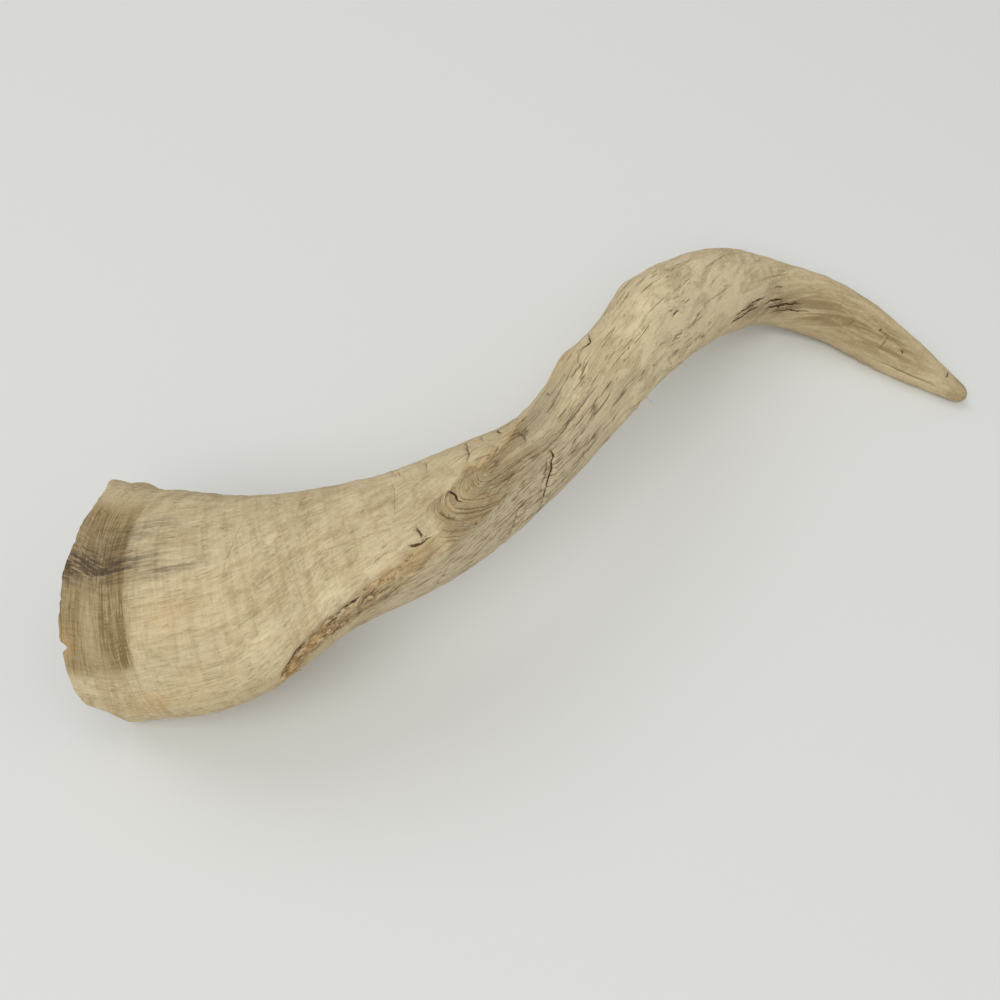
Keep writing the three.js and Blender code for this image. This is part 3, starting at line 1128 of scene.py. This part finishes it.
def crust_spots(draw):
    """Chips laid along the crust, thickest near its upper edge."""
    spots = []
    for _ in range(CHIPS):
        distance = 56 + 42 * draw.random() ** 1.5
        edge = follow(CRUST_EDGE, distance)
        foot = follow(CRUST_FOOT, distance)
        angle = edge + (foot - edge) * draw.uniform(0.02, 0.9) ** 1.5
        size = 0.3 + 0.75 * draw.random() ** 2
        spots.append(
            (distance, angle, draw.normal(-4, 8), draw.uniform(-4, 6), size, draw.uniform(-0.25, 0.0))
        )
    return spots


def strand_spots(draw):
    """Frayed fibres along the crust, the twist and the torn edges, and a few loose splinters."""
    spots = list(SPLINTERS)
    for _ in range(STRANDS):
        place = draw.random()
        if place < 0.55:
            distance = draw.uniform(54, 99)
            edge, foot = follow(CRUST_EDGE, distance), follow(CRUST_FOOT, distance)
            angle = edge + (foot - edge) * draw.uniform(-0.1, 1.1)
        elif place < 0.75:
            distance = draw.uniform(112, 158)
            angle = follow(ZIGZAG, distance) + draw.uniform(-1, 5)
        else:
            distance = draw.uniform(20, 260)
            angle = draw.uniform(-180, 180)
        heading = draw.normal(0, 12) + (180 if draw.random() < 0.3 else 0)
        size = draw.uniform(0.35, 0.8)
        spots.append((distance, angle, heading, draw.uniform(-4, 4), size, draw.uniform(-0.1, 0.02)))
    return spots


def make_floor(stage):
    bpy.ops.mesh.primitive_plane_add(size=FLOOR_SIZE)
    floor = bpy.context.object
    floor.name = "studio_floor"
    paint = Finish("studio_floor")
    shader = paint.node(
        "ShaderNodeBsdfPrincipled", {},
        **{"Base Color": tuple(stage.floor), "Roughness": 0.9, "Specular IOR Level": 0.0},
    )
    paint.node("ShaderNodeOutputMaterial", {}, Surface=shader)
    floor.data.materials.append(paint.material)


def aim(thing, place, target, roll=0.0):
    """Puts a light or the camera at a place, looking at the target."""
    turn = (target - place).to_track_quat("-Z", "Y").to_matrix() @ Matrix.Rotation(roll, 3, "Z")
    thing.location = place
    thing.rotation_euler = turn.to_euler()


def add_light(name, power, place):
    """A square soft light aimed at the horn."""
    light = bpy.data.lights.new(name, "AREA")
    light.shape = "SQUARE"
    light.size = LIGHT_SIZE
    light.energy = power
    lamp = bpy.data.objects.new(name, light)
    bpy.context.scene.collection.objects.link(lamp)
    aim(lamp, place, Vector((0, 0, 0)))


class GOATHORN_OT_sheath(Operator):
    """Models the horn sheath with its rings, crust and cracks"""

    bl_idname = "goathorn.sheath"
    bl_label = "Horn Sheath"

    def execute(self, context):
        sheath = straight_sheath()
        sheath.name = "weathered_sheath"
        lay_along_horn(sheath, context.scene.goat_horn)
        sheath.data.materials.append(HornFinish(context.scene.goat_horn_tints).paint())
        deselect_all()
        sheath.select_set(True)
        bpy.ops.object.shade_smooth()
        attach(sheath, BODY)
        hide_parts(NODE)
        return {"FINISHED"}


class GOATHORN_OT_torn_edges(Operator):
    """Adds the torn chips and frayed fibres of the crust and the twist"""

    bl_idname = "goathorn.torn_edges"
    bl_label = "Torn Edges"

    def execute(self, context):
        looks = context.scene.goat_horn
        finish = torn_keratin(context.scene.goat_horn_tints)
        draw = np.random.default_rng(SCATTER_SEED)
        scatter(make_chip(), "crust_chips", crust_spots(draw), looks, finish)
        scatter(make_strand(), "frayed_fibres", strand_spots(draw), looks, finish)
        return {"FINISHED"}


class GOATHORN_OT_stage(Operator):
    """Sets up the pale floor, the soft light and the camera"""

    bl_idname = "goathorn.stage"
    bl_label = "Stage"

    def execute(self, context):
        scene = context.scene
        stage = scene.goat_horn_stage
        deselect_all()
        make_floor(stage)
        world = bpy.data.worlds.new("studio_fill")
        world.use_nodes = True
        background = world.node_tree.nodes["Background"]
        background.inputs["Color"].default_value = (1.0, 1.0, 1.0, 1.0)
        background.inputs["Strength"].default_value = stage.sky_strength
        scene.world = world
        scene.view_settings.view_transform = "Standard"

        add_light("front_light", stage.front_power, FRONT_LIGHT_PLACE)
        add_light("back_light", stage.back_power, BACK_LIGHT_PLACE)

        lens = bpy.data.cameras.new("camera")
        lens.angle = stage.lens_angle
        lens.clip_start = NEAREST_SEEN
        camera = bpy.data.objects.new("camera", lens)
        scene.collection.objects.link(camera)
        flat = math.cos(stage.elevation)
        back = Vector(
            (math.sin(stage.azimuth) * flat, -math.cos(stage.azimuth) * flat, math.sin(stage.elevation))
        )
        place = CAMERA_TARGET + back * stage.camera_distance
        aim(camera, place, CAMERA_TARGET, stage.roll)
        scene.camera = camera
        return {"FINISHED"}


class GOATHORN_PT_panel(Panel):
    """Lists the horn's parts and their settings"""

    bl_idname = "GOATHORN_PT_panel"
    bl_label = "Goat Horn"
    bl_space_type = "VIEW_3D"
    bl_region_type = "UI"
    bl_category = "Goat Horn"

    def draw(self, context):
        layout = self.layout
        for name, operator in (
            ("goat_horn", GOATHORN_OT_sheath),
            ("goat_horn_tints", GOATHORN_OT_torn_edges),
            ("goat_horn_stage", GOATHORN_OT_stage),
        ):
            group = getattr(context.scene, name)
            box = layout.box()
            for field in group.__annotations__:
                box.prop(group, field)
            box.operator(operator.bl_idname)


GROUPS = {"goat_horn": Sheath, "goat_horn_tints": Tints, "goat_horn_stage": Stage}
CLASSES = (
    Sheath, Tints, Stage, GOATHORN_OT_sheath, GOATHORN_OT_torn_edges, GOATHORN_OT_stage,
    GOATHORN_PT_panel,
)


def register():
    for item in CLASSES:
        bpy.utils.register_class(item)
    for name, group in GROUPS.items():
        setattr(bpy.types.Scene, name, PointerProperty(type=group))


def unregister():
    for name in GROUPS:
        delattr(bpy.types.Scene, name)
    for item in reversed(CLASSES):
        bpy.utils.unregister_class(item)


def main():
    register()
    bpy.ops.goathorn.stage()
    bpy.ops.goathorn.sheath()
    bpy.ops.goathorn.torn_edges()


if __name__ == "__main__":
    main()
